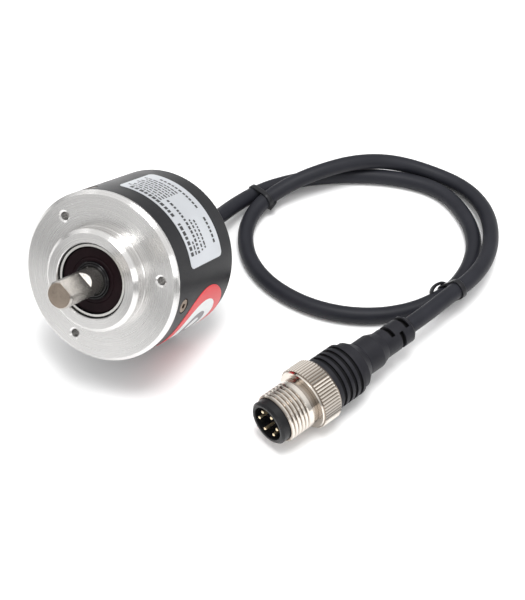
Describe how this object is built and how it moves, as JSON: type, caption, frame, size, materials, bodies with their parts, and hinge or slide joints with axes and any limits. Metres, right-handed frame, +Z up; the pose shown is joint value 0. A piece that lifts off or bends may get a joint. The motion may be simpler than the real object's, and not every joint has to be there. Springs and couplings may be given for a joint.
{
  "type": "rotary encoder",
  "caption": "Round optical rotary encoder with a spigot flange, a flatted shaft and a short tied cable that ends in a threaded circular connector.",
  "frame": {"origin": "on the surface it stands on, under the centre of the encoder body with its shaft, the cord and connector left out", "axes": "+Z up, -Y the way the shaft points seen from above, +X to the right seen from the shaft end; the shaft rises 26 degrees above -Y because the encoder leans back on the lower edge of its rear face"},
  "size_m": [0.1155, 0.151, 0.0598],
  "materials": {
    "flange_aluminium": "fine turned, satin",
    "cover_black": "black anodised, semi-matt",
    "screw_bronze": "browned steel",
    "seal_rubber": "smooth moulded",
    "shield_rubber": "moulded, faint rings",
    "bearing_steel": "ground",
    "ball_steel": "polished",
    "cage_plastic": "moulded",
    "shaft_steel": "ground stainless",
    "hub_aluminium": "turned",
    "disc_glass": "chromed pattern",
    "holder_plastic": "moulded",
    "led_epoxy": "clear epoxy",
    "chip_black": "moulded epoxy",
    "board_green": "solder mask",
    "post_brass": "machined",
    "header_white": "moulded",
    "wire_insulation": "extruded",
    "relief_rubber": "moulded",
    "label_silver": "metallised film",
    "sticker_film": "printed film",
    "cable_jacket": "extruded, matt",
    "tie_black": "moulded",
    "nut_nickel": "nickel plated, knurled",
    "insert_black": "moulded",
    "pin_gold": "gold flashed",
    "boot_black": "overmoulded"
  },
  "bodies": {
    "housing": {"mounting_flange": "flange_aluminium", "housing_cover": "cover_black", "cover_screws": "screw_bronze", "cover_seal": "seal_rubber", "front_bearing_outer_ring": "bearing_steel", "rear_bearing_outer_ring": "bearing_steel", "front_bearing_shield": "shield_rubber", "shaft_seal": "seal_rubber", "led_holder": "holder_plastic", "led": "led_epoxy", "photo_detector": "chip_black", "reading_mask": "disc_glass", "circuit_board": "board_green", "board_posts": "post_brass", "board_screws": "bearing_steel", "board_chips": "chip_black", "cable_header": "header_white", "lead_wires": "wire_insulation", "cable_clamp": "hub_aluminium", "strain_relief": "relief_rubber", "rating_label": "label_silver", "round_sticker": "sticker_film", "cable": "cable_jacket", "cable_tie_rear": "tie_black", "cable_tie_side": "tie_black", "connector_insert": "insert_black", "contact_pins": "pin_gold", "connector_seal": "seal_rubber", "connector_boot": "boot_black"},
    "rotor": {"shaft": "shaft_steel", "front_bearing_inner_ring": "bearing_steel", "rear_bearing_inner_ring": "bearing_steel", "bearing_spacer": "hub_aluminium", "retaining_ring": "bearing_steel", "disc_hub": "hub_aluminium", "hub_screw": "screw_bronze", "code_disc": "disc_glass", "disc_clamp": "hub_aluminium"},
    "front_cage": {"front_bearing_balls": "ball_steel", "front_bearing_cage": "cage_plastic"},
    "rear_cage": {"rear_bearing_balls": "ball_steel", "rear_bearing_cage": "cage_plastic"},
    "nut": {"coupling_nut": "nut_nickel"}
  },
  "joints": [
    {"name": "shaft_spin", "type": "hinge", "parent": "housing", "child": "rotor", "pos_m": [0, -0.01108, 0.03779], "axis": [0, -0.8988, 0.4384], "continuous": true},
    {"name": "front_cage_spin", "type": "hinge", "parent": "housing", "child": "front_cage", "pos_m": [0, -0.01153, 0.038], "axis": [0, -0.8988, 0.4384], "continuous": true},
    {"name": "rear_cage_spin", "type": "hinge", "parent": "housing", "child": "rear_cage", "pos_m": [0, 0.00141, 0.03169], "axis": [0, -0.8988, 0.4384], "continuous": true},
    {"name": "coupling_nut_spin", "type": "hinge", "parent": "housing", "child": "nut", "pos_m": [0.06114, -0.00407, 0.00975], "axis": [0.3535, 0.9354, 0], "continuous": true}
  ],
  "couplings": [
    {"joint": "front_cage_spin", "follows": "shaft_spin", "ratio": 0.368},
    {"joint": "rear_cage_spin", "follows": "shaft_spin", "ratio": 0.368}
  ]
}
